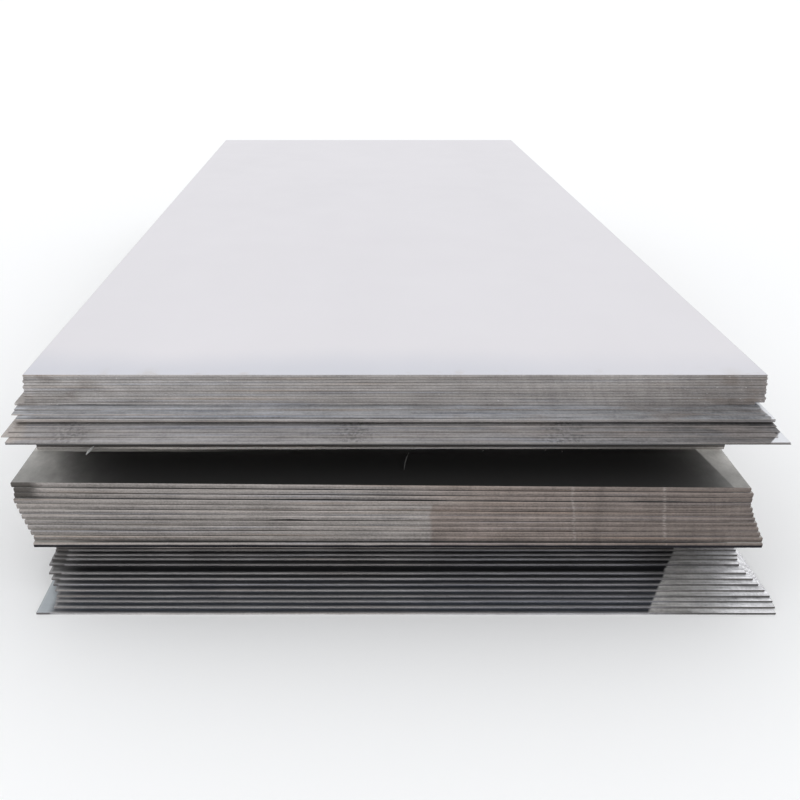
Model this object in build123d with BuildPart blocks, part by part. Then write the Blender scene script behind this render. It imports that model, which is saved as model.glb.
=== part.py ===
import os

from build123d import *

os.makedirs("parts", exist_ok=True)

# A stack of bare steel plates, laid down lot by lot.
# +X is to the right, +Y runs along the plates towards the far end and +Z is up.
# The origin is the centre of the lowest plate's underside.

# Plate stock: one standard size for the whole stack, in five gauges
plate_width = 1500
plate_length = 3000
step_gauge = 2
fan_gauge = 4.5
flush_gauge = 5.5
heavy_gauge = 11
recess_gauge = 15

# Sheared edge: the upper edge rolls over, then comes a straight burnished band,
# and the rest of the thickness breaks away and leans inwards
rollover_share = 0.14
fracture_share = 0.4
fracture_angle = 7

# Fanned lot on the floor: each plate is pushed back a little from the one below it,
# and the lowest one was cut a little wider than the rest
fan_spare_width = 30
fan_reach = 150
fan_reach_shares = (0, 0.09, 0.18, 0.25, 0.34, 0.43, 0.52, 0.61, 0.77, 0.86, 0.92, 1)
fan_drift = -20
fan_drift_shares = (0, -0.93, -0.93, -0.86, -0.55, -0.15, 0.21, 0.68, 0.99, 0.93, 0.78, 0.74)

# Lower recess: behind the front of the fanned lot's top plate, in the shade of the heavy lot
lower_recess_inset = 5
lower_recess_slide = -16
lower_recess_wander = 6
lower_recess_wander_shares = (0, 0.6, -0.5, 0.3, 0.8)

# Heavy lot: overhangs the recess, leans back as it rises and turns a little across the stack
heavy_overhang = 95
heavy_lean = 24
heavy_turn = -0.2
heavy_turn_rise = -0.6
heavy_rise_shares = (-0.2, 0.08, 0.16, 0.27, 0.35, 0.47, 0.52, 0.63, 0.7, 0.81, 0.9, 1)
heavy_slide = -15
heavy_drift = -20
heavy_drift_shares = (0, -0.2, 0.05, 0.22, 0.4, 0.6, 0.78, 0.9, 1.1, 0.95, 0.85, 1.05)

# Upper recess: carries the upper lots clear of the heavy lot's front edge
upper_recess_inset = 148
upper_recess_slide = -49
upper_recess_drift = 20
upper_recess_drift_shares = (0, 0.1, 0.25, 0.3, 0.45, 0.6, 0.8, 1)

# Stepped lot: two bundles of thin plates, each with its lowest plates standing out
step_overhang = 194
step_reach = 102
step_reach_shares = (0, 0.01, 0.21, 0.37, 0.55, 0.735, 0.725, 0.645, 0.637, 0.65, 0.82, 1)
step_slide = -25
step_drift = 15
step_drift_shares = (0.13, 0.07, -0.93, -0.33, -0.13, 0.07, 0.13, -0.13, -0.13, -0.07, -0.93, -1)

# Flush lot on top: squared up, but for a slight lean back and its lowest plate, which strayed to the left
flush_inset = 18
flush_stray = -20
flush_lean = 16
flush_lean_shares = (0, 0.12, 0.18, 0.33, 0.38, 0.52, 0.58, 0.73, 0.79, 0.92, 1)
flush_slide = -25
flush_wander = 1.5
flush_wander_shares = (0, -0.6, 0.4, -1, 0.2, 0.7, -0.5, 1, -0.3, 0.5, 0)


def shear_plate(name, width, gauge, base, slide, set_back, turn):
    # One plate with sheared edges, its underside at the given height
    fracture = gauge * fracture_share
    seat = Plane(origin=(slide, set_back, base + fracture)).rotated((0, 0, turn))
    with BuildPart() as plate:
        with BuildSketch(seat):
            Rectangle(width, plate_length)
        extrude(amount=gauge - fracture)
        extrude(plate.faces().sort_by(Axis.Z)[0], amount=fracture, taper=fracture_angle)
        fillet(plate.faces().sort_by(Axis.Z)[-1].edges(), radius=gauge * rollover_share)
    plate.part.label = name
    export_step(plate.part, f"parts/{name}.step")


def lay_lot(lot, gauge, base, slides, set_backs, turns=None, widths=None):
    # Lays the plates of a lot one on another and returns the height of the top one
    turns = turns or [0] * len(slides)
    widths = widths or [plate_width] * len(slides)
    for number, (slide, set_back, turn, width) in enumerate(zip(slides, set_backs, turns, widths), start=1):
        shear_plate(f"{lot}_{number:02d}", width, gauge, base, slide, set_back, turn)
        base += gauge
    return base


# Each lot takes its place from the front of the plate that it lies on

# Fanned lot
fan_slides = [fan_drift * share for share in fan_drift_shares]
fan_backs = [fan_reach * share for share in fan_reach_shares]
fan_widths = [plate_width] * len(fan_slides)
fan_widths[0] += fan_spare_width
fan_top = lay_lot("fanned_plate", fan_gauge, 0, fan_slides, fan_backs, widths=fan_widths)

# Lower recess
lower_wanders = [lower_recess_wander * share for share in lower_recess_wander_shares]
lower_slides = [lower_recess_slide + wander for wander in lower_wanders]
lower_back = fan_backs[-1] + lower_recess_inset
lower_backs = [lower_back + abs(wander) for wander in lower_wanders]
lower_top = lay_lot("lower_recess_plate", recess_gauge, fan_top, lower_slides, lower_backs)

# Heavy lot
heavy_slides = [heavy_slide + heavy_drift * share for share in heavy_drift_shares]
heavy_back = lower_back - heavy_overhang
heavy_backs = [heavy_back + heavy_lean * share for share in heavy_rise_shares]
heavy_turns = [heavy_turn + heavy_turn_rise * share for share in heavy_rise_shares]
heavy_top = lay_lot("heavy_plate", heavy_gauge, lower_top, heavy_slides, heavy_backs, heavy_turns)

# Upper recess
upper_slides = [upper_recess_slide + upper_recess_drift * share for share in upper_recess_drift_shares]
upper_back = heavy_backs[-1] + upper_recess_inset
upper_backs = [upper_back] * len(upper_slides)
upper_top = lay_lot("upper_recess_plate", recess_gauge, heavy_top, upper_slides, upper_backs)

# Stepped lot
step_slides = [step_slide + step_drift * share for share in step_drift_shares]
step_back = upper_back - step_overhang
step_backs = [step_back + step_reach * share for share in step_reach_shares]
step_top = lay_lot("stepped_plate", step_gauge, upper_top, step_slides, step_backs)

# Flush lot
flush_slides = [flush_slide + flush_wander * share for share in flush_wander_shares]
flush_slides[0] += flush_stray
flush_back = step_backs[-1] + flush_inset
flush_backs = [flush_back + flush_lean * share for share in flush_lean_shares]
stack_top = lay_lot("flush_plate", flush_gauge, step_top, flush_slides, flush_backs)

print(f"stack height {stack_top} mm, top plate set back {flush_backs[-1]:.2f} mm")
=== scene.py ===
import math

import bpy
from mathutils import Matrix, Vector


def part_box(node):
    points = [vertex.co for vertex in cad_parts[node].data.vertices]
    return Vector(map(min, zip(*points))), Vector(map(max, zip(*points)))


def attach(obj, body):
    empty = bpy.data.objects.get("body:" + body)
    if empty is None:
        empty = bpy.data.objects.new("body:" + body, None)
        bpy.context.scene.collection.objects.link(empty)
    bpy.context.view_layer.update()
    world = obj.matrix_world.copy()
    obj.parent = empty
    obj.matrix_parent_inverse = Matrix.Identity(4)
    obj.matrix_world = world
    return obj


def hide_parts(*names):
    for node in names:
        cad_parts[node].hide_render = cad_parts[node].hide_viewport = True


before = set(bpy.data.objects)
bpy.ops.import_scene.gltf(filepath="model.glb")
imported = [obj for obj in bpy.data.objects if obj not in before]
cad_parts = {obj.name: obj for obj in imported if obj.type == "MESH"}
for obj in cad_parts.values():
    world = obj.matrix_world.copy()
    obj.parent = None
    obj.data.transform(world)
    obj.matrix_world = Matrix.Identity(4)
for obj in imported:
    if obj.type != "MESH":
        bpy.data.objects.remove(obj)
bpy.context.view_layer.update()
print("frame loaded:", len(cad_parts), "nodes")

# the top plate lies square, so its box is the size of the stock
topLow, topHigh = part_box("flush_plate_11")
stock = {"width": topHigh.x - topLow.x, "length": topHigh.y - topLow.y}

# where a Mix node keeps its colours
mixSockets = {"factor": 0, "first": 6, "second": 7, "result": 2}


def plug(socket, value):
    if isinstance(value, Wire):
        value.bench.tree.links.new(value.socket, socket)
    else:
        socket.default_value = value


class Wire:
    # one output of a node tree, with arithmetic
    def __init__(self, bench, socket):
        self.bench = bench
        self.socket = socket

    def out(self, name):
        return Wire(self.bench, self.socket.node.outputs[name])

    def math(self, operation, *others):
        return self.bench.math(operation, self, *others)

    def __add__(self, other):
        return self.math("ADD", other)

    def __sub__(self, other):
        return self.math("SUBTRACT", other)

    def __mul__(self, other):
        return self.math("MULTIPLY", other)

    def __truediv__(self, other):
        return self.math("DIVIDE", other)

    def __pow__(self, other):
        return self.math("POWER", other)

    def __radd__(self, other):
        return self.bench.math("ADD", other, self)

    def __rsub__(self, other):
        return self.bench.math("SUBTRACT", other, self)

    def __rmul__(self, other):
        return self.bench.math("MULTIPLY", other, self)

    def __rtruediv__(self, other):
        return self.bench.math("DIVIDE", other, self)


class Bench:
    # a node tree that nodes are laid out on
    def __init__(self, tree):
        self.tree = tree

    def node(self, kind, settings=None, sockets=None, out=0):
        made = self.tree.nodes.new(kind)
        for name, value in (settings or {}).items():
            setattr(made, name, value)
        for name, value in (sockets or {}).items():
            plug(made.inputs[name], value)
        return Wire(self, made.outputs[out])

    def math(self, operation, *terms):
        return self.node("ShaderNodeMath", {"operation": operation}, dict(enumerate(terms)))

    def vector(self, x, y, z):
        return self.node("ShaderNodeCombineXYZ", None, {"X": x, "Y": y, "Z": z})

    def noise(self, x, y, z, detail=2.0, roughness=0.5):
        sockets = {"Vector": self.vector(x, y, z), "Scale": 1.0, "Detail": detail, "Roughness": roughness}
        return self.node("ShaderNodeTexNoise", {"noise_dimensions": "3D"}, sockets)

    def swing(self, noise):
        # from -1 to 1 instead of 0 to 1
        return (noise - 0.5) * 2

    def rise(self, value, low, high, shape="SMOOTHSTEP"):
        # 0 below low, 1 above high
        sockets = {"Value": value, "From Min": low, "From Max": high}
        return self.node("ShaderNodeMapRange", {"interpolation_type": shape}, sockets)

    def share(self, value, low, high):
        return self.rise(value, low, high, "LINEAR")

    def mark(self, value, middle, reach):
        # 1 at the middle, 0 beyond its reach
        return 1.0 - self.rise((value - middle).math("ABSOLUTE"), 0.0, reach)

    def between(self, share, first, second):
        # the first value at 0, the second at 1
        return first + share * (second - first)

    def mix(self, factor, first, second, blend="MIX"):
        settings = {"data_type": "RGBA", "blend_type": blend}
        sockets = {mixSockets["factor"]: factor, mixSockets["first"]: first, mixSockets["second"]: second}
        return self.node("ShaderNodeMix", settings, sockets, mixSockets["result"])

    def tint(self, colour, by):
        return self.mix(1.0, colour, by, "MULTIPLY")

    def shade(self, colour, value):
        return self.tint(colour, self.vector(value, value, value))


# the rows of a plate's faces, from 0 at the middle of its underside over its edge to the middle of its top
rowOf = {"lip": 1, "breakLine": 2, "rollover": 3, "face": 6, "middle": 7}

# the sheared plate: how its edge is divided, as in the solid, how finely it is cut up and how uneven it is
shearedEdge = {
    "rolloverShare": 0.14, "fractureShare": 0.4, "leanDegrees": 7.0,
    "frontSteps": 240, "sideSteps": 70, "backSteps": 120, "rolloverDegrees": (30, 60),
    "longWave": {"perMetre": 3, "shift": 3.7, "detail": 1.0}, "longRise": (0.35, 0.7),
    "fineWave": {"perMetre": 60, "shift": 5.1, "detail": 2.0}, "fineRise": (0.3, 0.8), "fineShare": 0.5,
    "breakWave": {"perMetre": 25, "shift": 8.3, "detail": 3.0}, "breakLeast": 0.7, "breakSwing": 0.6,
    "liftWave": {"shift": 2.9, "detail": 1.0}, "liftRise": (0.45, 0.7), "lipLeast": 0.5,
    "frontRange": (-0.5, -0.49), "mergeDistance": 0.000001,
}
plateInputs = ("Width", "Length", "Gauge", "Rollover", "Fracture", "Lean", "Ragged", "Lift", "Lift Length",
               "Lens Place", "Lens Reach", "Lens Height", "Turn", "Tone", "Gap", "Seed")


def plateTree():
    # a plate is one strip of faces: round its edge, and from the underside over the edge to the top
    tree = bpy.data.node_groups.new("shearedPlate", "GeometryNodeTree")
    bench = Bench(tree)
    for name in plateInputs:
        tree.interface.new_socket(name, in_out="INPUT", socket_type="NodeSocketFloat")
    tree.interface.new_socket("Place", in_out="INPUT", socket_type="NodeSocketVector")
    tree.interface.new_socket("Steel", in_out="INPUT", socket_type="NodeSocketMaterial")
    tree.interface.new_socket("Plate", in_out="OUTPUT", socket_type="NodeSocketGeometry")
    given = bench.node("NodeGroupInput")
    width, length, gauge = given.out("Width"), given.out("Length"), given.out("Gauge")
    roll, seed = given.out("Rollover"), given.out("Seed")

    rows = rowOf["middle"] + 1
    frontEnd = shearedEdge["frontSteps"]
    rightEnd = frontEnd + shearedEdge["sideSteps"]
    backEnd = rightEnd + shearedEdge["backSteps"]
    leftEnd = backEnd + shearedEdge["sideSteps"]
    index = bench.node("GeometryNodeInputIndex")
    step = (index / rows).math("FLOOR")
    row = index - step * rows

    # where the step is, from -0.5 to 0.5 across the plate and along it
    acrossShare = bench.share(step, 0.0, frontEnd) - bench.share(step, rightEnd, backEnd) - 0.5
    alongShare = bench.share(step, frontEnd, rightEnd) - bench.share(step, backEnd, leftEnd) - 0.5
    edgeX, edgeY = acrossShare * width, alongShare * length

    def unevenness(wave):
        perMetre = wave["perMetre"]
        return bench.noise(edgeX * perMetre, edgeY * perMetre, seed * wave["shift"], wave["detail"])

    # unevenness of the cut, all of it inwards
    longCut = bench.rise(unevenness(shearedEdge["longWave"]), *shearedEdge["longRise"])
    fineCut = bench.rise(unevenness(shearedEdge["fineWave"]), *shearedEdge["fineRise"])
    cut = given.out("Ragged") * (longCut + fineCut * shearedEdge["fineShare"])
    # gaps where the lower lip is bent up, by chance and at one chosen place
    liftWave, liftLength = shearedEdge["liftWave"], given.out("Lift Length")
    lifted = bench.noise(edgeX / liftLength, edgeY / liftLength, seed * liftWave["shift"], liftWave["detail"])
    lift = given.out("Lift") * given.out("Gap") * bench.rise(lifted, *shearedEdge["liftRise"])
    lensShape = 1 - ((edgeX - given.out("Lens Place")) / given.out("Lens Reach")) ** 2
    onFront = 1 - bench.share(alongShare, *shearedEdge["frontRange"])
    lift = lift + given.out("Lens Height") * bench.share(lensShape, 0.0, 1.0) * onFront
    # the line where the cut broke, and the lip below it
    broken = unevenness(shearedEdge["breakWave"])
    breakShare = shearedEdge["breakLeast"] + broken * shearedEdge["breakSwing"]
    breakLine = given.out("Fracture") * breakShare + lift
    lip = given.out("Lean") * (shearedEdge["lipLeast"] + broken) + cut

    # inset and height of each row
    insets = [width / 2, lip, cut, cut]
    heights = [0.0, lift, breakLine, gauge - roll]
    for degrees in shearedEdge["rolloverDegrees"]:
        angle = math.radians(degrees)
        insets.append(cut + roll * (1 - math.cos(angle)))
        heights.append(gauge - roll * (1 - math.sin(angle)))
    insets += [cut + roll, width / 2]
    heights += [gauge, gauge]

    def pick(values):
        chosen = bench.node("GeometryNodeIndexSwitch", {"data_type": "FLOAT"}, {"Index": row})
        switch = chosen.socket.node
        while len(switch.index_switch_items) < rows:
            switch.index_switch_items.new()
        for number, value in enumerate(values, start=1):
            plug(switch.inputs[number], value)
        return chosen

    inset, height = pick(insets), pick(heights)
    place = bench.vector(acrossShare * (width - inset * 2), alongShare * (length - inset * 2), height)
    plate = bench.node("GeometryNodeMeshGrid", None, {"Vertices X": leftEnd + 1, "Vertices Y": rows})
    plate = bench.node("GeometryNodeSetPosition", None, {"Geometry": plate, "Position": place})
    for name, value in (("band", row), ("tone", given.out("Tone")), ("gap", given.out("Gap"))):
        sockets = {"Geometry": plate, "Name": name, "Value": value}
        plate = bench.node("GeometryNodeStoreNamedAttribute", {"data_type": "FLOAT"}, sockets)
    sockets = {"Geometry": plate, "Distance": shearedEdge["mergeDistance"]}
    plate = bench.node("GeometryNodeMergeByDistance", None, sockets)
    plate = bench.node("GeometryNodeFlipFaces", None, {"Mesh": plate})
    turned = bench.vector(0.0, 0.0, given.out("Turn"))
    sockets = {"Geometry": plate, "Translation": given.out("Place"), "Rotation": turned}
    plate = bench.node("GeometryNodeTransform", None, sockets)
    plate = bench.node("GeometryNodeRealizeInstances", None, {"Geometry": plate})
    plate = bench.node("GeometryNodeSetMaterial", None, {"Geometry": plate, "Material": given.out("Steel")})
    result = tree.nodes.new("NodeGroupOutput")
    plug(result.inputs["Plate"], plate)
    return tree


# what tinges the bare steel: bluish and brownish lines, and the painted shade in the gaps
tinges = {
    "none": (1, 1, 1, 1), "gap": (0.045, 0.048, 0.058, 1),
    "blue": (0.87, 0.92, 1.01, 1), "blueRise": (0.05, 0.45),
    "brown": (1.0, 0.92, 0.85, 1), "brownRise": (0.1, 0.5),
}

# marks that all the lots share. A pattern changes so many times a metre along an edge and up it, or across
# a face and along its depth. It is one layer of a noise, or its layer shifts with the tone of the plate.
cutMarks = {
    "streak": {"along": 3, "up": 330, "shift": 9, "detail": 3.0, "roughness": 0.65},
    "smudge": {"along": 12, "up": 45, "layer": 3.0, "detail": 3.0},
    "grain": {"along": 240, "up": 260, "shift": 4},
    "banding": {"along": 1.6, "up": 125, "layer": 6.0},
    "hue": {"along": 2.2, "up": 140, "shift": 6, "detail": 3.0},
    "comb": {"along": 70, "up": 6, "layer": 5.0, "detail": 3.0, "roughness": 0.6},
    "combLeast": 0.2, "combFade": (-0.1, 0.35),
    "breakDrift": 0.3, "breakReach": 0.45, "breakRise": (-0.5, 0.3), "darkest": 0.1,
    "patch": {"across": 8, "deep": 8, "layer": 4.0, "detail": 3.0}, "patchRough": 0.08,
    "rolled": {"across": 260, "deep": 9, "layer": 2.0}, "rolledRelief": 0.25, "grainRelief": 0.6,
    "relief": 0.0006, "frontFade": (0.1, 0.4), "faceBlur": 0.1, "underBlur": 0.02, "seamRows": 0.6,
}


class Steel:
    # a bare steel finish: where a point is on the stack, on its plate and on the plate's edge
    def __init__(self, name):
        self.material = bpy.data.materials.new(name)
        self.material.use_nodes = True
        self.bench = bench = Bench(self.material.node_tree)
        self.shader = self.material.node_tree.nodes["Principled BSDF"]
        coord = bench.node("ShaderNodeTexCoord").out("Object")
        place = bench.node("ShaderNodeSeparateXYZ", None, {"Vector": coord})
        self.x, self.y, self.z = place.out("X"), place.out("Y"), place.out("Z")
        self.band = self.read("band")
        self.tone = self.read("tone")
        self.along = self.x + self.y        # along any edge
        nearEnd, farEnd = cutMarks["frontFade"]
        self.front = 1 - bench.rise(self.y, topLow.y + nearEnd, topLow.y + farEnd)
        face, lip = rowOf["face"], rowOf["lip"]
        self.onTop = bench.share(self.band, face - cutMarks["faceBlur"], face)
        self.under = 1 - bench.share(self.band, lip - cutMarks["underBlur"], lip)
        self.inland = (self.band - face) * (stock["width"] / 2)        # from the edge of the face
        # where a lip is lifted, the gap under it gets painted shade
        self.seam = (1 - bench.share(self.band, lip, lip + cutMarks["seamRows"])) * self.read("gap")
        self.streak = self.edgeSwing(cutMarks["streak"])
        self.smudge = self.edgeSwing(cutMarks["smudge"])
        self.grain = self.edgeSwing(cutMarks["grain"])
        self.banding = self.edgeSwing(cutMarks["banding"])
        self.hue = self.edgeSwing(cutMarks["hue"])

    def read(self, name):
        return self.bench.node("ShaderNodeAttribute", {"attribute_name": name}).out("Fac")

    def edgeNoise(self, along, up, layer=0.0, shift=0, detail=2.0, roughness=0.5):
        if shift:
            layer = self.tone * shift
        return self.bench.noise(self.along * along, self.z * up, layer, detail, roughness)

    def faceNoise(self, across, deep, layer, detail=2.0, roughness=0.5):
        return self.bench.noise(self.x * across, self.y * deep, layer, detail, roughness)

    def edgeSwing(self, pattern):
        return self.bench.swing(self.edgeNoise(**pattern))

    def faceSwing(self, pattern):
        return self.bench.swing(self.faceNoise(**pattern))

    def tinged(self, colour, hue):
        bench = self.bench
        tinge = bench.mix(bench.rise(hue, *tinges["blueRise"]), tinges["none"], tinges["blue"])
        tinge = bench.mix(bench.rise(-1 * hue, *tinges["brownRise"]), tinge, tinges["brown"])
        return bench.tint(colour, tinge)

    def cutEdge(self, colour, look):
        # the cut edge: plate by plate, in streaks, smudges and grain, with painted shade along the gaps
        bench = self.bench
        level = (1 + (self.tone - 0.5) * look["toneSwing"] + self.streak * look["streaks"]
                 + self.smudge * look["smudges"] + self.grain * look["grain"]
                 + self.banding * look.get("bands", 0.0))
        # upright marks of the shears, stronger to the right
        comb = self.edgeSwing(cutMarks["comb"])
        toRight = bench.rise(self.x, *cutMarks["combFade"])
        level = level + comb * bench.between(toRight, cutMarks["combLeast"], 1.0) * look.get("comb", 0.0)
        # the rollover gets a painted highlight, and the line where the cut broke is dark
        rolledOver = bench.share(self.band, rowOf["rollover"], rowOf["rollover"] + 1)
        level = level + rolledOver * look.get("shine", 0.0)
        lineRow = self.band + self.smudge * cutMarks["breakDrift"]
        broken = bench.mark(lineRow, rowOf["breakLine"], cutMarks["breakReach"])
        broken = broken * bench.rise(self.hue, *cutMarks["breakRise"])
        level = level - broken * look.get("breaks", 0.0)
        edge = bench.shade(self.tinged(colour, self.hue), level.math("MAXIMUM", cutMarks["darkest"]))
        return bench.mix(self.seam * look["seams"], edge, tinges["gap"])

    def finish(self, edge, face, look):
        bench = self.bench
        colour = bench.mix(self.onTop, edge, face)
        # undersides are painted near black, painted shade under each plate
        plug(self.shader.inputs["Base Color"], bench.mix(self.under, colour, look["underside"]))
        rough = bench.between(self.onTop, look["edgeRough"], look["faceRough"])
        patchy = bench.between(self.onTop, self.smudge, self.faceSwing(cutMarks["patch"]))
        plug(self.shader.inputs["Roughness"], rough + patchy * cutMarks["patchRough"])
        metal = bench.between(self.onTop, look["edgeMetal"], look["faceMetal"])
        plug(self.shader.inputs["Metallic"], metal)
        edgeRelief = self.streak + self.grain * cutMarks["grainRelief"]
        faceRelief = self.faceSwing(cutMarks["rolled"]) * cutMarks["rolledRelief"]
        height = bench.between(self.onTop, edgeRelief, faceRelief)
        sockets = {"Strength": look["bump"], "Distance": cutMarks["relief"], "Height": height}
        plug(self.shader.inputs["Normal"], bench.node("ShaderNodeBump", None, sockets))
        return self.material


# flush lot: pale rolled face on top, clean edges that darken and turn brown at the ends
flushLook = {
    # edges, with brown patches and bright flecks
    "leftEdge": (0.462, 0.441, 0.43, 1), "midEdge": (0.402, 0.381, 0.371, 1), "leftFade": (-0.5, 0.0),
    "rightEdge": (0.27, 0.252, 0.246, 1), "rightFade": (0.4, 0.76),
    "brown": (0.19, 0.155, 0.13, 1), "brownEnds": (0.48, 0.76), "brownBehind": 0.25,
    "patch": {"along": 20, "up": 40, "layer": 8.0, "detail": 3.0}, "patchRise": (0.42, 0.65),
    "patchLeast": 0.08, "patchGain": 0.45,
    "fleck": (0.78, 0.77, 0.75, 1), "flecks": {"along": 190, "up": 230, "layer": 4.0},
    "fleckRise": (0.69, 0.76), "fleckGain": 0.05, "fleckShare": 0.6,
    # the top face, greyer along its near edge, and the faces below it
    "face": (0.72, 0.70, 0.725, 1), "cloud": {"across": 3, "deep": 1.5, "layer": 1.0, "detail": 4.0},
    "cloudSwing": 0.03, "nearFace": (0.60, 0.605, 0.655, 1), "nearDepth": 0.16, "nearDrift": 0.05,
    "nearShare": 0.9, "nearFade": (0.1, 0.5), "nearLoss": 0.4,
    "lowerFace": (0.33, 0.3, 0.28, 1), "lowerSwing": 0.5, "topMargin": 0.001,
    "underside": (0.05, 0.05, 0.05, 1),
    # handling smudges: in small patches, and at a few places with their reach
    "smudgeColour": (0.5, 0.45, 0.4, 1), "smudgeDepth": 0.05,
    "rub": {"across": 22, "deep": 30, "layer": 5.0, "detail": 3.0}, "rubRise": (0.6, 0.75), "rubShare": 0.35,
    "smudgePlaces": ((-0.612, 0.015), (-0.518, 0.03), (0.659, 0.03)), "smudgeDrift": 0.02,
    "smudgeDots": {"across": 90, "deep": 60, "layer": 6.0}, "smudgeShare": 0.5,
    # the cut and the shine
    "toneSwing": 0.25, "streaks": 0.55, "smudges": 0.3, "grain": 0.3, "comb": 0.3, "seams": 0.55,
    "edgeRough": 0.5, "faceRough": 0.45, "edgeMetal": 0.6, "faceMetal": 0.3, "bump": 0.2,
}


def flushSteel(look):
    steel = Steel("pale rolled steel")
    bench, x, y, z = steel.bench, steel.x, steel.y, steel.z
    edge = bench.mix(bench.rise(x, *look["leftFade"]), look["leftEdge"], look["midEdge"])
    edge = bench.mix(bench.rise(x, *look["rightFade"]), edge, look["rightEdge"])
    # brown patches towards the ends, and a few bright flecks
    middle = (topLow.x + topHigh.x) / 2
    ends = bench.rise((x - middle).math("ABSOLUTE"), *look["brownEnds"])
    ends = ends * bench.between(steel.front, look["brownBehind"], 1.0)
    patches = bench.rise(steel.edgeNoise(**look["patch"]), *look["patchRise"])
    edge = bench.mix(patches * (look["patchLeast"] + ends * look["patchGain"]), edge, look["brown"])
    edge = steel.cutEdge(edge, look)
    fleckLow, fleckHigh = look["fleckRise"]
    flecks = bench.rise(steel.edgeNoise(**look["flecks"]), fleckLow - ends * look["fleckGain"], fleckHigh)
    edge = bench.mix(flecks * look["fleckShare"], edge, look["fleck"])
    # only the face of the top plate is pale
    cloud = steel.faceSwing(look["cloud"])
    face = bench.shade(look["face"], 1 + cloud * look["cloudSwing"])
    near = 1 - bench.rise(y + cloud * look["nearDrift"], topLow.y, topLow.y + look["nearDepth"])
    near = near * (look["nearShare"] - bench.rise(x, *look["nearFade"]) * look["nearLoss"])
    face = bench.mix(near, face, look["nearFace"])
    # handling smudges close to the near edge
    rubbed = bench.rise(steel.faceNoise(**look["rub"]), *look["rubRise"]) * look["rubShare"]
    dots = steel.faceNoise(**look["smudgeDots"]) * look["smudgeShare"]
    for place, reach in look["smudgePlaces"]:
        rubbed = rubbed + bench.mark(x + cloud * look["smudgeDrift"], place, reach) * dots
    rubbed = rubbed * (1 - bench.rise(y, topLow.y, topLow.y + look["smudgeDepth"]))
    face = bench.mix(rubbed, face, look["smudgeColour"])
    topmost = bench.share(z, topLow.z + look["topMargin"], topHigh.z - look["topMargin"])
    face = bench.mix(topmost, bench.shade(look["lowerFace"], 1 + cloud * look["lowerSwing"]), face)
    return steel.finish(edge, face, look)


# stepped lot: two bundles of thin plates with oil-streaked treads, bluish above and dull below,
# pale with painted light where the lowest plates stand out at the ends
steppedLook = {
    # edges, with painted shade on the lip at the foot
    "leftEdge": (0.44, 0.415, 0.395, 1), "rightEdge": (0.3, 0.28, 0.27, 1), "fade": (0.15, 0.72),
    "lipEdge": (0.07, 0.07, 0.075, 1), "lipHeight": 0.0017, "seamBlur": 0.0002,
    # treads, darker to the right
    "upperFace": (0.405, 0.41, 0.43, 1), "upperLoss": 0.38,
    "lowerFace": (0.335, 0.322, 0.325, 1), "lowerLoss": 0.48, "midFade": (-0.5, 0.0), "midLoss": 0.14,
    "hue": {"across": 2, "deep": 70, "layer": 3.0, "detail": 3.0},
    "lines": {"across": 3, "deep": 120, "layer": 7.0, "detail": 3.0, "roughness": 0.65}, "lineSwing": 1.05,
    "blotch": {"across": 26, "deep": 50, "layer": 9.0, "detail": 3.0}, "blotchSwing": 0.35, "blotchGain": 0.3,
    "faceGrain": {"across": 170, "deep": 130, "layer": 5.0}, "grainSwing": 0.3, "grainGain": 0.25,
    "underside": (0.03, 0.03, 0.03, 1),
    # dirt, a painted shade line, painted glints and rust
    "dirt": {"across": 140, "deep": 100, "layer": 3.0, "detail": 3.0}, "dirtRise": (0.42, 0.58),
    "dirtPlaces": (-0.663, -0.106, 0.291), "dirtReach": 0.06, "dirtDrift": 0.05, "dirtLoss": 0.35,
    "shadeLineInset": 0.005, "shadeLineReach": 0.0045, "shadeLineEnd": (0.1, 0.35), "shadeLineLoss": 0.7,
    "glint": (0.60, 0.64, 0.72, 1), "glints": {"across": 14, "deep": 60, "layer": 9.0},
    "glintRise": (0.62, 0.72), "glintShare": 0.4,
    "rust": (0.27, 0.238, 0.222, 1), "rustPatch": {"across": 7, "deep": 34, "layer": 2.0, "detail": 3.0},
    "rustRise": (0.48, 0.62), "rustFade": (-0.1, 0.2), "rustLines": 0.6, "rustGrain": 0.4, "rustShare": 0.5,
    # painted light at the ends
    "pale": (0.74, 0.75, 0.78, 1), "upperRim": 0.7165, "lowerRim": 0.704, "rimY": -1.4425, "rimSlope": 0.9,
    "rimDrift": 0.006, "rimBlur": 0.002,
    "paleLeft": (0.42, 0.37, 0.335, 1), "leftRim": (-0.765, -0.74), "leftDrift": 0.03, "leftGrain": 0.4,
    "leftShare": 0.7,
    # the cut and the shine
    "toneSwing": 0.3, "streaks": 0.55, "smudges": 0.4, "grain": 0.35, "seams": 0.2,
    "edgeRough": 0.5, "faceRough": 0.42, "edgeMetal": 0.6, "faceMetal": 0.5, "bump": 0.2,
}


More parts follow.
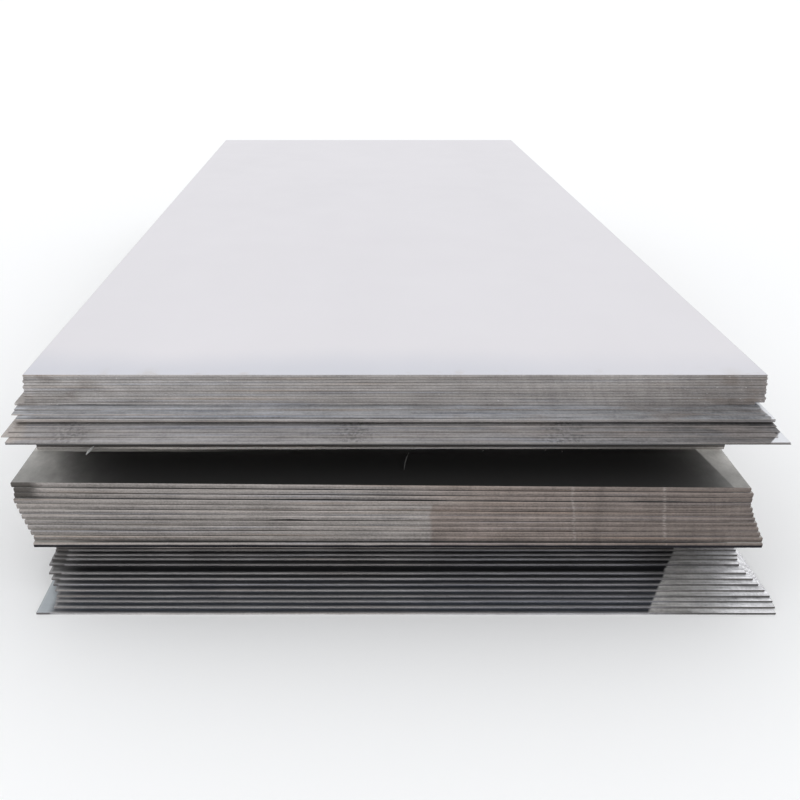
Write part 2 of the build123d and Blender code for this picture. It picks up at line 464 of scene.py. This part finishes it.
def steppedSteel(look):
    steel = Steel("oil-streaked steel")
    bench, x, y, z = steel.bench, steel.x, steel.y, steel.z
    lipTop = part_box("stepped_plate_01")[0].z + look["lipHeight"]
    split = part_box("stepped_plate_08")[0].z
    upper = bench.share(z, split - look["seamBlur"], split + look["seamBlur"])
    toRight = bench.rise(x, *look["fade"])
    edge = steel.cutEdge(bench.mix(toRight, look["leftEdge"], look["rightEdge"]), look)
    # painted shade on the lip at the foot of the lot
    edge = bench.mix(bench.share(z, lipTop - look["seamBlur"], lipTop), look["lipEdge"], edge)
    # treads: long thin lines, bluish or brownish, with blotches
    lines = steel.faceSwing(look["lines"])
    grain = steel.faceSwing(look["faceGrain"])
    blotch = steel.faceSwing(look["blotch"])
    face = bench.mix(upper, look["lowerFace"], look["upperFace"])
    face = steel.tinged(face, steel.faceSwing(look["hue"]))
    loss = bench.between(upper, look["lowerLoss"], look["upperLoss"])
    level = 1 - toRight * loss - bench.rise(x, *look["midFade"]) * (1 - upper) * look["midLoss"]
    blotches = blotch * (look["blotchSwing"] + toRight * look["blotchGain"])
    grains = grain * (look["grainSwing"] + toRight * look["grainGain"])
    level = level * (1 + lines * look["lineSwing"] + blotches + grains)
    # dirt, and a painted shade line behind the front of the upper bundle
    grime = bench.rise(steel.faceNoise(**look["dirt"]), *look["dirtRise"]) * (1 - upper) * look["dirtLoss"]
    for place in look["dirtPlaces"]:
        level = level - bench.mark(x + blotch * look["dirtDrift"], place, look["dirtReach"]) * grime
    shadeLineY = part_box("stepped_plate_10")[0].y + look["shadeLineInset"]
    shadeLine = bench.mark(y, shadeLineY, look["shadeLineReach"]) * upper
    shadeLine = shadeLine * (1 - bench.rise(x, *look["shadeLineEnd"]))
    level = level * (1 - shadeLine * look["shadeLineLoss"])
    face = bench.shade(face, level.math("MAXIMUM", cutMarks["darkest"]))
    # painted glints on the upper treads
    glint = bench.rise(steel.faceNoise(**look["glints"]), *look["glintRise"]) * upper
    face = bench.mix(glint * look["glintShare"], face, look["glint"])
    # rusty patches right of the middle
    rusty = bench.rise(steel.faceNoise(**look["rustPatch"]), *look["rustRise"])
    rusty = rusty * bench.rise(x, *look["rustFade"])
    rust = bench.shade(look["rust"], 1 + lines * look["rustLines"] + grain * look["rustGrain"])
    face = bench.mix(rusty * look["rustShare"], face, rust)
    # painted light where the lowest plates stand out at the ends
    lowerRim = look["lowerRim"] + (y - look["rimY"]) * look["rimSlope"]
    past = x - bench.between(upper, lowerRim, look["upperRim"]) + blotch * look["rimDrift"]
    face = bench.mix(bench.rise(past, -look["rimBlur"], look["rimBlur"]), face, look["pale"])
    left = (1 - bench.rise(x + blotch * look["leftDrift"], *look["leftRim"])) * (1 - upper)
    paleLeft = bench.shade(look["paleLeft"], 1 + grain * look["leftGrain"])
    face = bench.mix(left * look["leftShare"], face, paleLeft)
    return steel.finish(edge, face, look)


# recessed lots: dull plates in the shade, painted dark as shade above a light lower edge
upperRecessLook = {
    "edge": (0.2, 0.19, 0.18, 1), "dark": (0.1, 0.092, 0.086, 1), "face": (0.2, 0.2, 0.2, 1),
    "underside": (0.03, 0.03, 0.03, 1),
    "rub": (1.0, 0.94, 0.89, 1), "lightEdgeTop": 0.005, "lightEdgeBlur": 0.002, "lightEdgeDrift": 0.002,
    "lightEdgeLeast": 0.45, "lightEdgeStart": (-0.7, -0.52), "lightEdgeGain": 0.55, "lightEdgeWane": (-0.25, -0.08), "waneLoss": 0.28,
    "lightEdgeEnd": (0.25, 0.5), "endLoss": 0.35,
    "toneSwing": 0.2, "streaks": 0.4, "smudges": 0.4, "grain": 0.3, "seams": 0.0,
    "edgeRough": 0.6, "faceRough": 0.4, "edgeMetal": 0.4, "faceMetal": 0.6, "bump": 0.3,
}
lowerRecessLook = dict(upperRecessLook, rub=(0.5, 0.45, 0.42, 1))


def recessSteel(name, look, lowest):
    steel = Steel(name)
    bench, x, z = steel.bench, steel.x, steel.z
    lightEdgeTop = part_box(lowest)[0].z + look["lightEdgeTop"]
    above = bench.rise(z + steel.smudge * look["lightEdgeDrift"], lightEdgeTop, lightEdgeTop + look["lightEdgeBlur"])
    # the light lower edge is brightest left of the middle
    level = look["lightEdgeLeast"] + bench.rise(x, *look["lightEdgeStart"]) * look["lightEdgeGain"]
    level = level - bench.rise(x, *look["lightEdgeWane"]) * look["waneLoss"]
    level = level - bench.rise(x, *look["lightEdgeEnd"]) * look["endLoss"]
    # above the light lower edge the plates are painted dark, painted shade under the lot above
    shaded = bench.mix(above, bench.shade(look["rub"], level), look["dark"])
    edge = steel.cutEdge(bench.mix(steel.front, look["edge"], shaded), look)
    return steel.finish(edge, look["face"], look)


# heavy lot: dark mill scale on its face, darkened further as painted shade, with painted light at the ends,
# brown rough edges right of the middle
heavyLook = {
    # edges, brown from a sharp line on
    "leftEdge": (0.325, 0.3, 0.285, 1), "rightEdge": (0.19, 0.16, 0.145, 1), "rightFade": (0.1, 0.7),
    "brownEdge": (0.262, 0.223, 0.203, 1), "brownFrom": 0.05, "brownBlur": 0.004, "brownFade": 0.2,
    "brownDrift": 0.01, "brownTop": 0.2205, "brownTopBlur": 0.004,
    # a rubbed place, chalk lines, stains and the foot
    "rubPlace": 0.391, "rubReach": 0.02, "rubLoss": 0.15,
    "chalk": (0.55, 0.51, 0.48, 1), "chalkPlaces": (0.348, 0.533), "chalkSlope": 0.11, "chalkDrift": 0.004,
    "chalkReach": 0.006, "chalkShare": 0.4, "chalkDots": (90, 5, 260), "dotRise": (0.4, 0.6),
    "stain": (0.05, 0.045, 0.04, 1), "stainEnd": (-0.78, -0.735), "stainDrift": 0.04, "stainShare": 0.8,
    "stainFrom": 0.225, "stainBlur": 0.004, "stainFromDrift": 0.01,
    "foot": (0.012, 0.012, 0.016, 1), "footHeight": 0.0062, "footBlur": 0.001, "footDrift": 0.0015,
    # the dark face, mill scale and painted shade, with less of the painted shade at the front and the most
    # where the recessed plates stand on it
    "scale": (0.032, 0.0315, 0.031, 1), "frontGain": 0.7, "frontDepth": 0.11, "specular": 0.2,
    "shadeFrom": 0.026, "shadeTo": 0.008, "shadeLoss": 0.85, "underside": (0.02, 0.02, 0.02, 1),
    "cloud": {"across": 9, "deep": 9, "layer": 2.0, "detail": 4.0},
    # painted light at the ends, and a painted light strip at the left, in front of the recessed plates
    "litRim": (0.9, 0.875, 0.83, 1), "rimRise": (-1.385, -1.29),
    "mottle": {"across": 45, "deep": 30, "layer": 7.0, "detail": 4.0, "roughness": 0.7}, "mottleSwing": 0.35,
    "rimX": 0.65, "rimY": -1.371, "rimSlope": 0.113, "rimDrift": 0.004, "rimBlur": (-0.003, 0.005),
    "rimLeast": 0.5, "rimReach": 0.044, "rimTail": 0.25,
    "leftX": -0.7045, "leftY": -1.341, "leftSlope": 0.23, "leftDrift": 0.012,
    "leftLeast": 0.37, "leftMost": 0.57, "leftReach": 0.0436, "leftTail": 0.24,
    "stripFrom": 0.012, "stripTo": 0.006, "stripDrift": 0.004, "stripEnd": (-0.7, -0.3), "stripShare": 0.7,
    # the cut and the shine
    "toneSwing": 0.15, "streaks": 0.5, "smudges": 0.35, "grain": 0.4, "bands": 0.35, "shine": 0.4,
    "breaks": 0.4, "comb": 0.28, "seams": 0.9,
    "edgeRough": 0.55, "faceRough": 0.5, "edgeMetal": 0.5, "faceMetal": 0.15, "bump": 0.35,
}


def heavySteel(look):
    steel = Steel("heavy steel with mill scale, painted light and shade")
    bench, x, y, z, smudge = steel.bench, steel.x, steel.y, steel.z, steel.smudge
    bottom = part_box("heavy_plate_01")[0].z

    def around(value, middle, blur):
        return bench.rise(value, middle - blur, middle + blur)

    # brown to the right of a sharp line, which fades out near the top
    sharp = around(x + smudge * look["brownDrift"], look["brownFrom"], look["brownBlur"])
    faded = around(x, look["brownFrom"], look["brownFade"])
    brown = bench.between(around(z, look["brownTop"], look["brownTopBlur"]), sharp, faded)
    edge = bench.mix(brown, look["leftEdge"], look["brownEdge"])
    edge = bench.mix(bench.rise(x, *look["rightFade"]), edge, look["rightEdge"])
    edge = bench.shade(edge, 1 - bench.mark(x, look["rubPlace"], look["rubReach"]) * look["rubLoss"])
    edge = steel.cutEdge(edge, look)
    # chalk lines down the edges
    acrossDots, deepDots, upDots = look["chalkDots"]
    dots = bench.rise(bench.noise(x * acrossDots, y * deepDots, z * upDots), *look["dotRise"])
    line = x + (z - bottom) * look["chalkSlope"] + smudge * look["chalkDrift"]
    for place in look["chalkPlaces"]:
        chalked = bench.mark(line, place, look["chalkReach"]) * dots * look["chalkShare"]
        edge = bench.mix(chalked, edge, look["chalk"])
    # stains at the upper left, and the dirty foot of the lot
    stain = 1 - bench.rise(x + smudge * look["stainDrift"], *look["stainEnd"])
    stain = stain * around(z + smudge * look["stainFromDrift"], look["stainFrom"], look["stainBlur"])
    edge = bench.mix(stain * look["stainShare"], edge, look["stain"])
    aboveFoot = around(z + smudge * look["footDrift"], bottom + look["footHeight"], look["footBlur"])
    edge = bench.mix(aboveFoot, look["foot"], edge)
    # the dark middle of the face, mill scale and painted shade, with less of the painted shade towards the
    # front
    cloud = steel.faceSwing(look["cloud"])
    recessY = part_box("upper_recess_plate_01")[0].y
    level = 1 + look["frontGain"] * (1 - bench.rise(steel.inland, 0.0, look["frontDepth"]))
    # painted shade where the recessed plates stand on the face
    shaded = bench.rise(y, recessY - look["shadeFrom"], recessY - look["shadeTo"])
    level = level * (1 - shaded * look["shadeLoss"])
    # painted light at the ends that fades out inwards, with a sharp line at the right
    past = x - look["rimX"] + (y - look["rimY"]) * look["rimSlope"] + cloud * look["rimDrift"]
    short = x - look["leftX"] + (y - look["leftY"]) * look["leftSlope"] + cloud * look["leftDrift"]
    deep = bench.rise(y, *look["rimRise"]) * steel.front
    rightLit = bench.rise(past, *look["rimBlur"]) * bench.between(deep, look["rimLeast"], 1.0)
    rightTail = (past / look["rimReach"]).math("MINIMUM", 0.0).math("EXPONENT") * look["rimTail"]
    leftLit = (short / -look["leftReach"]).math("EXPONENT") * look["leftTail"]
    leftLit = leftLit.math("MINIMUM", bench.between(deep, look["leftLeast"], look["leftMost"]))
    # a painted light strip along the foot of the recessed plates at the left
    stripY = y + cloud * look["stripDrift"]
    strip = bench.rise(stripY, recessY - look["stripFrom"], recessY - look["stripTo"])
    strip = strip * (1 - bench.rise(x, *look["stripEnd"])) * look["stripShare"]
    dry = rightLit.math("MAXIMUM", rightTail).math("MAXIMUM", leftLit).math("MAXIMUM", strip)
    litFace = bench.shade(look["litRim"], 1 + steel.faceSwing(look["mottle"]) * look["mottleSwing"])
    face = bench.mix(dry, bench.shade(look["scale"], level), litFace)
    steel.shader.inputs["Specular IOR Level"].default_value = look["specular"]
    return steel.finish(edge, face, look)


# fanned lot: treads dark with painted shade, bright worn edges, painted light and streaks at the right, a
# pale left end below
fannedLook = {
    # edges, duller to the right and dirty at the left end
    "edge": (0.46, 0.445, 0.445, 1), "midEdge": (0.385, 0.38, 0.4, 1), "midFade": (-0.1, 0.2),
    "rightEdge": (0.13, 0.125, 0.122, 1), "fade": (0.46, 0.6),
    "leftEnd": (0.07, 0.06, 0.055, 1), "leftReach": 0.006, "leftShare": 0.7,
    # painted shade on the treads, worn off along the edges
    "cloud": {"across": 12, "deep": 20, "layer": 6.0, "detail": 4.0},
    "lines": {"across": 5, "deep": 130, "layer": 2.0, "detail": 3.0, "roughness": 0.65},
    "faceGrain": {"across": 150, "deep": 130, "layer": 8.0},
    "oil": (0.012, 0.012, 0.013, 1), "lowTreadShade": (0.05, 0.057, 0.07, 1), "treadShadeRise": (0.0, 0.045),
    "treadShadeLines": 0.8, "treadShadeGrain": 0.3, "underside": (0.03, 0.03, 0.03, 1),
    "worn": (0.24, 0.235, 0.238, 1), "wornDepth": (0.002, 0.0062), "wornDrift": 0.0015,
    "wornLines": 0.4, "wornTone": 0.3, "wornShare": 0.85,
    # painted light at the right and the left
    "dry": (0.645, 0.628, 0.61, 1), "dryX": 0.507, "dryY": -1.4896, "litSlope": 0.641, "litDrift": 0.008,
    "litBlur": 0.003, "pale": (0.83, 0.825, 0.845, 1), "paleFrom": (0.54, 0.7), "paleDrift": 0.05,
    "glints": {"across": 30, "deep": 90, "layer": 4.0, "detail": 3.0},
    "litCloud": 0.15, "litLines": 0.9, "litGlints": 0.5, "litGrain": 0.3,
    "leftLit": (-0.76, -0.66), "leftLitDrift": 0.03, "leftLitShare": 0.2,
    # the pale left end of the lowest plate
    "lowPale": (0.5, 0.54, 0.57, 1), "lowLeft": (-0.745, -0.725), "lowDrift": 0.006, "lowShare": 0.75,
    # the cut and the shine
    "toneSwing": 0.3, "streaks": 0.45, "smudges": 0.3, "grain": 0.3, "seams": 0.0,
    "edgeRough": 0.5, "faceRough": 0.4, "edgeMetal": 0.6, "faceMetal": 0.5, "bump": 0.25,
}


def fannedSteel(look):
    steel = Steel("fanned steel with painted tread shade")
    bench, x, y, z = steel.bench, steel.x, steel.y, steel.z
    edge = bench.mix(bench.rise(x, *look["midFade"]), look["edge"], look["midEdge"])
    edge = bench.mix(bench.rise(x, *look["fade"]), edge, look["rightEdge"])
    edge = steel.cutEdge(edge, look)
    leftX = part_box("fanned_plate_05")[0].x
    leftEnd = (1 - bench.rise(x, leftX, leftX + look["leftReach"])) * steel.front
    edge = bench.mix(leftEnd * look["leftShare"], edge, look["leftEnd"])
    cloud = steel.faceSwing(look["cloud"])
    lines = steel.faceSwing(look["lines"])
    grain = steel.faceSwing(look["faceGrain"])
    # painted shade on the treads, less of it on the lower plates, and worn off along the edges
    face = bench.mix(bench.rise(z, *look["treadShadeRise"]), look["lowTreadShade"], look["oil"])
    face = bench.shade(face, 1 + lines * look["treadShadeLines"] + grain * look["treadShadeGrain"])
    worn = 1 - bench.rise(steel.inland + cloud * look["wornDrift"], *look["wornDepth"])
    wornLevel = 1 + lines * look["wornLines"] + (steel.tone - 0.5) * look["wornTone"]
    face = bench.mix(worn * look["wornShare"], face, bench.shade(look["worn"], wornLevel))
    # painted light on the right-hand part, with streaks and painted glints, pale towards its end
    past = x - look["dryX"] - (y - look["dryY"]) * look["litSlope"]
    litRight = bench.rise(past + cloud * look["litDrift"], -look["litBlur"], look["litBlur"])
    litLeft = 1 - bench.rise(x + cloud * look["leftLitDrift"], *look["leftLit"])
    litLeft = litLeft ** 2 * look["leftLitShare"]
    dry = bench.mix(bench.rise(x + cloud * look["paleDrift"], *look["paleFrom"]), look["dry"], look["pale"])
    glints = steel.faceSwing(look["glints"])
    litLevel = 1 + cloud * look["litCloud"] + lines * look["litLines"]
    litLevel = litLevel + glints * look["litGlints"] + grain * look["litGrain"]
    face = bench.mix(litRight.math("MAXIMUM", litLeft), face, bench.shade(dry, litLevel))
    # only the lowest plate has the pale left end
    secondLow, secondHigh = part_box("fanned_plate_02")
    lowest = 1 - bench.share(z, secondLow.z, secondHigh.z)
    lowLeft = 1 - bench.rise(x + cloud * look["lowDrift"], *look["lowLeft"])
    face = bench.mix(lowLeft * lowest * look["lowShare"], face, look["lowPale"])
    return steel.finish(edge, face, look)


# the lots: how many plates, how uneven their cut is, how far and over what length their lips are lifted, in
# metres, which way they are turned, and how open the gaps under them are, at least and at most, from 0 to 1.
# Single plates can have a gap of their own, or a lens, an open place in front.
lots = {
    "flush_plate": {
        "count": 11, "ragged": 0.0004, "lift": 0.0007, "liftLength": 0.2, "turned": 0, "gap": (0.1, 1.0),
        "lenses": {"flush_plate_01": {"place": -0.595, "reach": 0.09, "height": 0.0014}},
    },
    "stepped_plate": {
        "count": 12, "ragged": 0.0005, "lift": 0.0003, "liftLength": 0.3, "turned": 0, "gap": (0.0, 1.0),
    },
    "upper_recess_plate": {
        "count": 8, "ragged": 0.0006, "lift": 0.001, "liftLength": 0.3, "turned": 0, "gap": (1.0, 1.0),
    },
    "heavy_plate": {
        "count": 12, "ragged": 0.0005, "lift": 0.0016, "liftLength": 0.2, "turned": -1, "gap": (0.0, 0.12),
        "gaps": {"heavy_plate_10": 1.0, "heavy_plate_11": 0.6, "heavy_plate_12": 0.7},
        "lenses": {"heavy_plate_06": {"place": -0.2, "reach": 0.05, "height": 0.0024}},
    },
    "lower_recess_plate": {
        "count": 5, "ragged": 0.0006, "lift": 0.001, "liftLength": 0.3, "turned": 0, "gap": (1.0, 1.0),
    },
    "fanned_plate": {
        "count": 12, "ragged": 0.0006, "lift": 0.0002, "liftLength": 0.3, "turned": 0, "gap": (0.0, 1.0),
    },
}
noLens = {"place": 0.0, "reach": 0.05, "height": 0.0}
plateSteps = {"gap": 0.754878, "tone": 0.618034}        # from plate to plate, wrapped at 1


def plateName(node):
    words = node.split("_")
    return words[0] + "".join(word.capitalize() for word in words[1:])


def bake(name, tree, inputs):
    # runs a tree with these inputs and keeps the result as a plain mesh
    piece = bpy.data.objects.new(name, bpy.data.meshes.new("blank"))
    bpy.context.scene.collection.objects.link(piece)
    modifier = piece.modifiers.new("nodes", "NODES")
    modifier.node_group = tree
    for item in tree.interface.items_tree:
        if item.in_out == "INPUT":
            modifier[item.identifier] = inputs[item.name]
    evaluated = piece.evaluated_get(bpy.context.evaluated_depsgraph_get())
    finished = bpy.data.meshes.new_from_object(evaluated)
    piece.modifiers.remove(modifier)
    piece.data = finished
    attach(piece, "root")
    return piece


def makePlate(node, lot, steel, tree, seed):
    values = lots[lot]
    low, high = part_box(node)
    width, length, gauge = high.x - low.x, high.y - low.y, high.z - low.z
    sine = 0.0
    if values["turned"]:
        # a turned plate fills a larger box, which gives its angle
        sine = stock["length"] * width - stock["width"] * length
        sine /= stock["length"] ** 2 - stock["width"] ** 2
        width, length = stock["width"], stock["length"]
    fracture = gauge * shearedEdge["fractureShare"]
    least, most = values["gap"]
    gap = least + (most - least) * ((seed * plateSteps["gap"]) % 1.0)
    lens = values.get("lenses", {}).get(node, noLens)
    inputs = {
        "Width": width, "Length": length, "Gauge": gauge,
        "Rollover": gauge * shearedEdge["rolloverShare"], "Fracture": fracture,
        "Lean": fracture * math.tan(math.radians(shearedEdge["leanDegrees"])),
        "Ragged": values["ragged"], "Lift": values["lift"], "Lift Length": values["liftLength"],
        "Lens Place": lens["place"], "Lens Reach": lens["reach"], "Lens Height": lens["height"],
        "Turn": math.asin(sine) * values["turned"], "Tone": (seed * plateSteps["tone"]) % 1.0,
        "Gap": values.get("gaps", {}).get(node, gap), "Seed": float(seed),
        "Place": Vector(((low.x + high.x) / 2, (low.y + high.y) / 2, low.z)),
        "Steel": steel,
    }
    plate = bake(plateName(node), tree, inputs)
    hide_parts(node)
    return plate


finishes = {
    "flush_plate": flushSteel(flushLook),
    "stepped_plate": steppedSteel(steppedLook),
    "upper_recess_plate": recessSteel("shaded steel above", upperRecessLook, "upper_recess_plate_01"),
    "heavy_plate": heavySteel(heavyLook),
    "lower_recess_plate": recessSteel("shaded steel below", lowerRecessLook, "lower_recess_plate_01"),
    "fanned_plate": fannedSteel(fannedLook),
}
tree = plateTree()
seed = 0
for lot, values in lots.items():
    for number in range(1, values["count"] + 1):
        seed += 1
        plate = makePlate(f"{lot}_{number:02d}", lot, finishes[lot], tree, seed)
    print("lot made:", lot, values["count"], "plates of", len(plate.data.polygons), "faces")


# bright shavings from the shears, lying on the heavy lot: start, bend, end and relative width of each,
# with heights from the face of the lot
shavings = {
    "routes": (((-0.6843, -1.2943, 0), (-0.680, -1.282, 0.005), (-0.671, -1.2735, 0.01), 1.9),
               ((-0.0031, -1.3589, 0), (0.0016, -1.3135, 0), (0.012, -1.2835, 0), 0.7),
               ((0.171, -1.2775, 0), (0.175, -1.2745, 0), (0.176, -1.2715, 0), 0.4),
               ((0.307, -1.2775, 0), (0.308, -1.2745, 0), (0.312, -1.2715, 0), 0.4),
               ((0.343, -1.2835, 0), (0.345, -1.279, 0), (0.345, -1.274, 0), 0.4)),
    "width": 0.0034, "flatness": 0.8, "steps": 10, "sides": 6, "tipShare": 0.05, "swell": 3.8,
    "colour": (1.0, 0.99, 0.97, 1), "metal": 0.1, "rough": 0.4, "brightWidth": 1.9,
    "ripplesPerMetre": 400.0, "rippleLeast": 0.8, "rippleSwing": 0.4,
}


def shavingTree():
    tree = bpy.data.node_groups.new("shearShavings", "GeometryNodeTree")
    bench = Bench(tree)
    for name in ("Width", "Flatness", "Base"):
        tree.interface.new_socket(name, in_out="INPUT", socket_type="NodeSocketFloat")
    tree.interface.new_socket("Steel", in_out="INPUT", socket_type="NodeSocketMaterial")
    tree.interface.new_socket("Shavings", in_out="OUTPUT", socket_type="NodeSocketGeometry")
    given = bench.node("NodeGroupInput")
    width, flatness = given.out("Width"), given.out("Flatness")
    joined = tree.nodes.new("GeometryNodeJoinGeometry")
    for start, bend, end, wide in shavings["routes"]:
        # heights are stretched here, as the flattening shrinks them again
        points = [Vector((x, y, z / shavings["flatness"])) for x, y, z in (start, bend, end)]
        sockets = {"Resolution": shavings["steps"], "Start": points[0], "Middle": points[1], "End": points[2]}
        curve = bench.node("GeometryNodeCurveQuadraticBezier", None, sockets)
        sockets = {"Geometry": curve, "Name": "width", "Value": wide}
        plug(joined.inputs[0], bench.node("GeometryNodeStoreNamedAttribute", {"data_type": "FLOAT"}, sockets))
    curves = Wire(bench, joined.outputs[0])
    sockets = {"Resolution": shavings["sides"], "Radius": width / 2}
    ring = bench.node("GeometryNodeCurvePrimitiveCircle", None, sockets)
    # each one tapers off to both ends
    share = bench.node("GeometryNodeSplineParameter").out("Factor")
    wide = bench.node("GeometryNodeInputNamedAttribute", {"data_type": "FLOAT"}, {"Name": "width"})
    taper = (shavings["tipShare"] + share * (1 - share) * shavings["swell"]) * wide
    sockets = {"Curve": curves, "Profile Curve": ring, "Scale": taper, "Fill Caps": True}
    curls = bench.node("GeometryNodeCurveToMesh", None, sockets)
    # flattened and laid on the face
    lift = bench.vector(0.0, 0.0, given.out("Base") + width * flatness / 2)
    sockets = {"Geometry": curls, "Translation": lift, "Scale": bench.vector(1.0, 1.0, flatness)}
    curls = bench.node("GeometryNodeTransform", None, sockets)
    curls = bench.node("GeometryNodeRealizeInstances", None, {"Geometry": curls})
    curls = bench.node("GeometryNodeSetMaterial", None, {"Geometry": curls, "Material": given.out("Steel")})
    result = tree.nodes.new("NodeGroupOutput")
    plug(result.inputs["Shavings"], curls)
    return tree


def shavingSteel():
    material = bpy.data.materials.new("bright shavings")
    material.use_nodes = True
    bench = Bench(material.node_tree)
    shader = material.node_tree.nodes["Principled BSDF"]
    place = bench.node("ShaderNodeTexCoord").out("Object")
    sockets = {"Vector": place, "Scale": shavings["ripplesPerMetre"]}
    ripple = bench.node("ShaderNodeTexNoise", None, sockets)
    # the broad ones are the bright ones
    width = bench.node("ShaderNodeAttribute", {"attribute_name": "width"}).out("Fac")
    level = shavings["rippleLeast"] + ripple * shavings["rippleSwing"]
    level = level * bench.share(width, 0.0, shavings["brightWidth"])
    plug(shader.inputs["Base Color"], bench.shade(shavings["colour"], level))
    shader.inputs["Metallic"].default_value = shavings["metal"]
    shader.inputs["Roughness"].default_value = shavings["rough"]
    return material


shaving = bake("shearShavings", shavingTree(), {
    "Width": shavings["width"], "Flatness": shavings["flatness"],
    "Base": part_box("heavy_plate_12")[1].z, "Steel": shavingSteel(),
})
print("shavings made:", len(shavings["routes"]))


# floor and light
studio = {
    "floor": (0.97, 0.97, 0.97, 1), "floorSize": 2000.0, "floorRough": 0.9,
    "world": (0.975, 0.985, 1.0, 1), "worldStrength": 1.02,
    "sunStrength": 0.15, "sunAngle": 120.0,
}


def makeStudio():
    half = studio["floorSize"] / 2
    corners = [(-half, -half, 0), (half, -half, 0), (half, half, 0), (-half, half, 0)]
    mesh = bpy.data.meshes.new("studioFloor")
    mesh.from_pydata(corners, [], [(0, 1, 2, 3)])
    floor = bpy.data.objects.new("studioFloor", mesh)
    bpy.context.scene.collection.objects.link(floor)
    paint = bpy.data.materials.new("floor paint")
    paint.use_nodes = True
    shader = paint.node_tree.nodes["Principled BSDF"]
    shader.inputs["Base Color"].default_value = studio["floor"]
    shader.inputs["Roughness"].default_value = studio["floorRough"]
    mesh.materials.append(paint)
    world = bpy.data.worlds.new("studio")
    world.use_nodes = True
    background = world.node_tree.nodes["Background"]
    background.inputs["Color"].default_value = studio["world"]
    background.inputs["Strength"].default_value = studio["worldStrength"]
    bpy.context.scene.world = world
    sun = bpy.data.lights.new("overhead", "SUN")
    sun.energy = studio["sunStrength"]
    sun.angle = math.radians(studio["sunAngle"])
    bpy.context.scene.collection.objects.link(bpy.data.objects.new("overhead", sun))
    bpy.context.scene.view_settings.view_transform = "Standard"


# where the camera stands, from the middle of the top plate's near edge, in metres
viewpoint = {
    "across": -0.0862, "back": 1.5187, "above": 0.6869,
    "pitchDegrees": 26.0646, "lens": 37.286, "sensorWidth": 36.0, "shiftX": 0.0599,
}


def makeCamera():
    camera = bpy.data.cameras.new("photoView")
    camera.lens = viewpoint["lens"]
    camera.sensor_width = viewpoint["sensorWidth"]
    camera.shift_x = viewpoint["shiftX"]
    holder = bpy.data.objects.new("photoView", camera)
    nearMiddle = Vector(((topLow.x + topHigh.x) / 2, topLow.y, topHigh.z))
    holder.location = nearMiddle + Vector((viewpoint["across"], -viewpoint["back"], viewpoint["above"]))
    holder.rotation_euler = (math.radians(90 - viewpoint["pitchDegrees"]), 0, 0)
    bpy.context.scene.collection.objects.link(holder)
    bpy.context.scene.camera = holder


makeStudio()
makeCamera()
print("studio and camera set")
